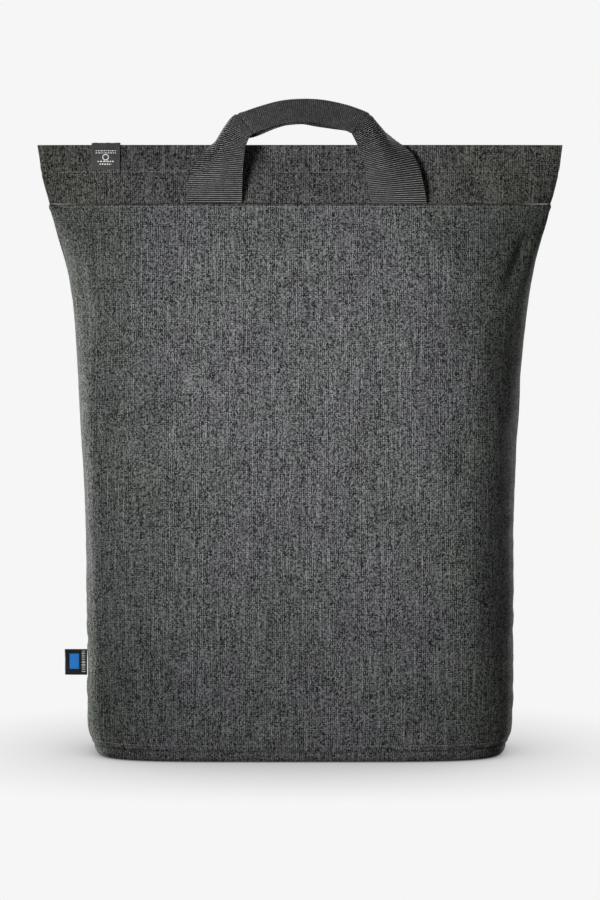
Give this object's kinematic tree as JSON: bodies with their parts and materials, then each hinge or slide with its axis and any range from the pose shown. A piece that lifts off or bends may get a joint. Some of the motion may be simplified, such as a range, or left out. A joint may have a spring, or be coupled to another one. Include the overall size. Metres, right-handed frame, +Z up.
{
  "type": "laptop backpack",
  "caption": "Grey melange laptop backpack flaring to a wide flat mouth, with a hemmed band, a folded webbing carry handle and padded shoulder straps.",
  "frame": {"origin": "middle of the base's flat underside, midway between the side seams and between the front and back panels", "axes": "+Z up to the mouth, +Y towards the back and the shoulder straps, +X towards the right side seam seen from the front"},
  "size_m": [0.386, 0.1442, 0.4808],
  "materials": {
    "melange_cloth": "fine grey melange weave, matt",
    "strap_cloth": "grey melange weave over padding, matt",
    "ribbed_webbing": "dark grey ribbed webbing",
    "label_cloth": "woven satin label, dark grey",
    "tab_cloth": "woven black ribbon with a blue field",
    "black_plastic": "moulded, satin",
    "zip_cloth": "woven tape with nylon teeth",
    "zip_metal": "dark gunmetal, satin"
  },
  "bodies": {
    "root": {"front_panel": "melange_cloth", "back_panel": "melange_cloth", "base_panel": "melange_cloth", "front_band": "melange_cloth", "back_band": "melange_cloth", "top_zip": "zip_cloth", "zip_slider": "zip_metal", "carry_handle": "ribbed_webbing", "top_label": "label_cloth", "side_tab": "tab_cloth", "shoulder_strap_left": "strap_cloth", "shoulder_strap_right": "strap_cloth", "strap_buckle_left": "black_plastic", "strap_buckle_right": "black_plastic", "lower_strap_left": "ribbed_webbing", "lower_strap_right": "ribbed_webbing"}
  },
  "joints": []
}
